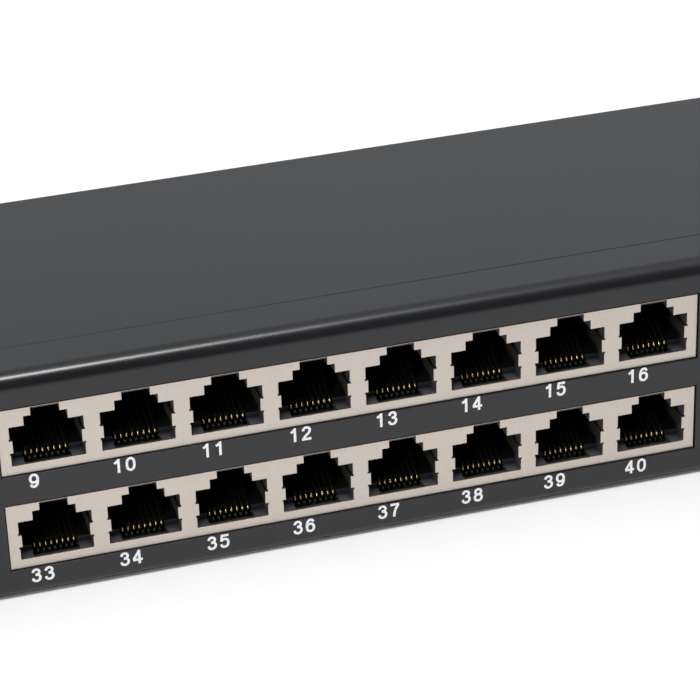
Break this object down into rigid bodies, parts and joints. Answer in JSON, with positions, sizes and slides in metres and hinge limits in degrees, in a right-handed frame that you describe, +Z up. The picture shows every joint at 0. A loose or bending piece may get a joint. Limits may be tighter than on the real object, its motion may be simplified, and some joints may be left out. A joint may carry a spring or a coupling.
{
  "type": "shielded patch panel",
  "caption": "Rack-mounted shielded patch panel with two rows of modular sockets in groups, a lift-off lid, punch-down blocks on circuit boards and a rear cable comb.",
  "frame": {"origin": "middle of the four rack slots, on the rear face of the mounting ears", "axes": "+X along the panel to the right seen from the front, +Y from the front face into the rack, +Z up"},
  "size_m": [0.4826, 0.1275, 0.044],
  "materials": {
    "panel_coat": "black powder coat, satin",
    "zinc_sheet": "zinc-plated sheet, dull",
    "nickel_shield": "nickel-plated strip, satin",
    "black_moulding": "glass-filled thermoplastic, satin",
    "block_moulding": "off-white moulded thermoplastic, satin",
    "gold_contact": "gold-plated wire, bright",
    "tinned_contact": "tinned bronze, bright",
    "circuit_board": "glass-epoxy board with green solder mask",
    "brass": "turned brass",
    "zinc_screw": "zinc-plated steel",
    "black_screw": "black zinc-plated steel",
    "black_rivet": "black-coated aluminium rivet"
  },
  "bodies": {
    "chassis": {"front_panel": "panel_coat", "base_tray": "panel_coat", "jack_shield_lower_left": "nickel_shield", "jack_shield_lower_middle": "nickel_shield", "jack_shield_lower_right": "nickel_shield", "jack_shield_upper_left": "nickel_shield", "jack_shield_upper_middle": "nickel_shield", "jack_shield_upper_right": "nickel_shield", "jack_housings_lower_left": "black_moulding", "jack_housings_lower_middle": "black_moulding", "jack_housings_lower_right": "black_moulding", "jack_housings_upper_left": "black_moulding", "jack_housings_upper_middle": "black_moulding", "jack_housings_upper_right": "black_moulding", "contact_carriers_lower_left": "black_moulding", "contact_carriers_lower_middle": "black_moulding", "contact_carriers_lower_right": "black_moulding", "contact_carriers_upper_left": "black_moulding", "contact_carriers_upper_middle": "black_moulding", "contact_carriers_upper_right": "black_moulding", "jack_contacts_lower_left": "gold_contact", "jack_contacts_lower_middle": "gold_contact", "jack_contacts_lower_right": "gold_contact", "jack_contacts_upper_left": "gold_contact", "jack_contacts_upper_middle": "gold_contact", "jack_contacts_upper_right": "gold_contact", "circuit_board_lower_left": "circuit_board", "circuit_board_lower_middle": "circuit_board", "circuit_board_lower_right": "circuit_board", "circuit_board_upper_left": "circuit_board", "circuit_board_upper_middle": "circuit_board", "circuit_board_upper_right": "circuit_board", "idc_blocks_lower_left": "block_moulding", "idc_blocks_lower_middle": "block_moulding", "idc_blocks_lower_right": "block_moulding", "idc_blocks_upper_left": "block_moulding", "idc_blocks_upper_middle": "block_moulding", "idc_blocks_upper_right": "block_moulding", "idc_contacts_lower_left": "tinned_contact", "idc_contacts_lower_middle": "tinned_contact", "idc_contacts_lower_right": "tinned_contact", "idc_contacts_upper_left": "tinned_contact", "idc_contacts_upper_middle": "tinned_contact", "idc_contacts_upper_right": "tinned_contact", "board_spacers": "brass", "board_pillars": "brass", "board_screws_upper": "zinc_screw", "board_screws_lower": "zinc_screw", "rear_cable_comb": "zinc_sheet", "comb_screws": "zinc_screw", "side_rivets_left": "black_rivet", "side_rivets_right": "black_rivet", "earth_stud": "zinc_screw", "earth_washer": "zinc_screw"},
    "lid": {"top_lid": "panel_coat"},
    "earth_nut": {"earth_nut": "brass"},
    "lid_screw_front_left": {"lid_screw_front_left": "black_screw"},
    "lid_screw_front_right": {"lid_screw_front_right": "black_screw"},
    "lid_screw_rear_left": {"lid_screw_rear_left": "black_screw"},
    "lid_screw_rear_right": {"lid_screw_rear_right": "black_screw"}
  },
  "joints": [
    {"name": "lid_lift", "type": "slide", "parent": "chassis", "child": "lid", "axis": [0, 0, 1], "range_m": [0, 0.06]},
    {"name": "lid_screw_front_left_spin", "type": "hinge", "parent": "lid", "child": "lid_screw_front_left", "pos_m": [-0.21, 0.02, 0.0207], "axis": [0, 0, 1], "continuous": true},
    {"name": "lid_screw_front_right_spin", "type": "hinge", "parent": "lid", "child": "lid_screw_front_right", "pos_m": [0.21, 0.02, 0.0207], "axis": [0, 0, 1], "continuous": true},
    {"name": "lid_screw_rear_left_spin", "type": "hinge", "parent": "lid", "child": "lid_screw_rear_left", "pos_m": [-0.21, 0.058, 0.0207], "axis": [0, 0, 1], "continuous": true},
    {"name": "lid_screw_rear_right_spin", "type": "hinge", "parent": "lid", "child": "lid_screw_rear_right", "pos_m": [0.21, 0.058, 0.0207], "axis": [0, 0, 1], "continuous": true},
    {"name": "earth_nut_spin", "type": "hinge", "parent": "chassis", "child": "earth_nut", "pos_m": [0.19, 0.088, -0.0165], "axis": [0, 0, 1], "continuous": true}
  ]
}
